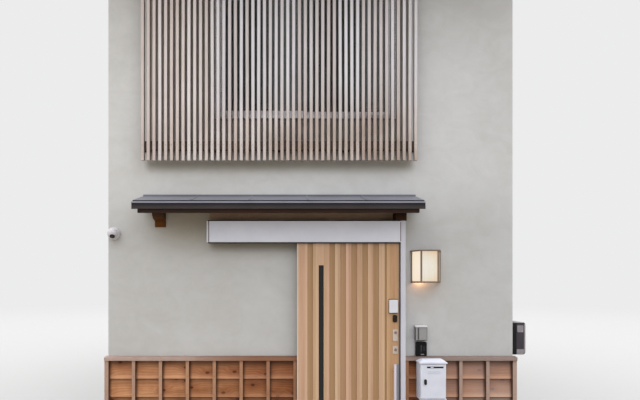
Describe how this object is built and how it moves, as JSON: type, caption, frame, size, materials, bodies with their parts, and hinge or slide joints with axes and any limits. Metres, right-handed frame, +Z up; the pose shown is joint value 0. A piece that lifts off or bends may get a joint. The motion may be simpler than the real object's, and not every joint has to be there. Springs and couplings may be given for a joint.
{
  "type": "machiya townhouse",
  "caption": "Narrow two-storey wooden townhouse with lattice, pent roof, cedar wainscot, sliding entrance door and gable roof.",
  "frame": {"origin": "on the ground under the middle of the house", "axes": "+X along the street to the viewer's right, +Y from the street front into the house, +Z up"},
  "size_m": [4.105, 8.72, 6.9967],
  "materials": {
    "plaster": "smooth trowelled",
    "concrete": "plain cast",
    "cedar": "oiled boards",
    "roof_timber": "stained dark",
    "lattice_timber": "weathered",
    "bracket_timber": "stained",
    "roof_metal": "satin coated",
    "aluminium": "anodised",
    "track_metal": "brushed",
    "leaf_woodgrain": "printed grain cladding",
    "dark_glass": "clear",
    "window_glass": "clear",
    "steel": "brushed",
    "white_plastic": "satin",
    "black_plastic": "gloss",
    "lamp_metal": "bronze coat",
    "lamp_glass": "frosted",
    "mailbox_paint": "satin white",
    "meter_plastic": "satin",
    "floor_wood": "boards"
  },
  "bodies": {
    "house": {"foundation": "concrete", "ground_floor": "concrete", "front_wall_left": "plaster", "front_wall_right": "plaster", "front_wall_over_door": "plaster", "front_wall_upper": "plaster", "back_wall": "plaster", "left_wall": "plaster", "right_wall": "plaster", "upper_floor": "floor_wood", "rafters": "roof_timber", "ridge_beam": "roof_timber", "roof_deck_front": "roof_timber", "roof_deck_back": "roof_timber", "roof_sheet_front": "roof_metal", "roof_sheet_back": "roof_metal", "ridge_cap": "roof_metal", "bargeboards": "roof_timber", "eaves_fascias": "roof_timber", "wainscot_boards": "cedar", "wainscot_battens": "cedar", "wainscot_cap": "cedar", "window_frames": "aluminium", "window_sashes": "aluminium", "window_glass": "window_glass", "lattice": "lattice_timber", "lattice_brackets": "roof_timber", "pent_roof_sheet": "roof_metal", "pent_roof_frame": "roof_timber", "pent_roof_brackets": "bracket_timber", "door_header": "aluminium", "door_track": "track_metal", "door_jamb": "aluminium", "door_lining": "aluminium", "door_sill_rail": "aluminium", "wall_lamp_frame": "lamp_metal", "wall_lamp_panes": "lamp_glass", "outlet_cover": "steel", "intercom": "black_plastic", "security_camera": "white_plastic", "meter_box": "meter_plastic", "mailbox_body": "mailbox_paint"},
    "door": {"door_leaf": "leaf_woodgrain", "door_glass": "dark_glass", "door_hangers": "track_metal", "door_handle": "steel", "door_locks": "white_plastic"},
    "mailbox_door": {"mailbox_door": "mailbox_paint"}
  },
  "joints": [
    {"name": "door_slide", "type": "slide", "parent": "house", "child": "door", "axis": [-1, 0, 0], "range_m": [0, 0.78]},
    {"name": "mailbox_hinge", "type": "hinge", "parent": "house", "child": "mailbox_door", "pos_m": [1.203, -3.893, 0.973], "axis": [0, 0, 1], "range_deg": [0, 100]}
  ]
}
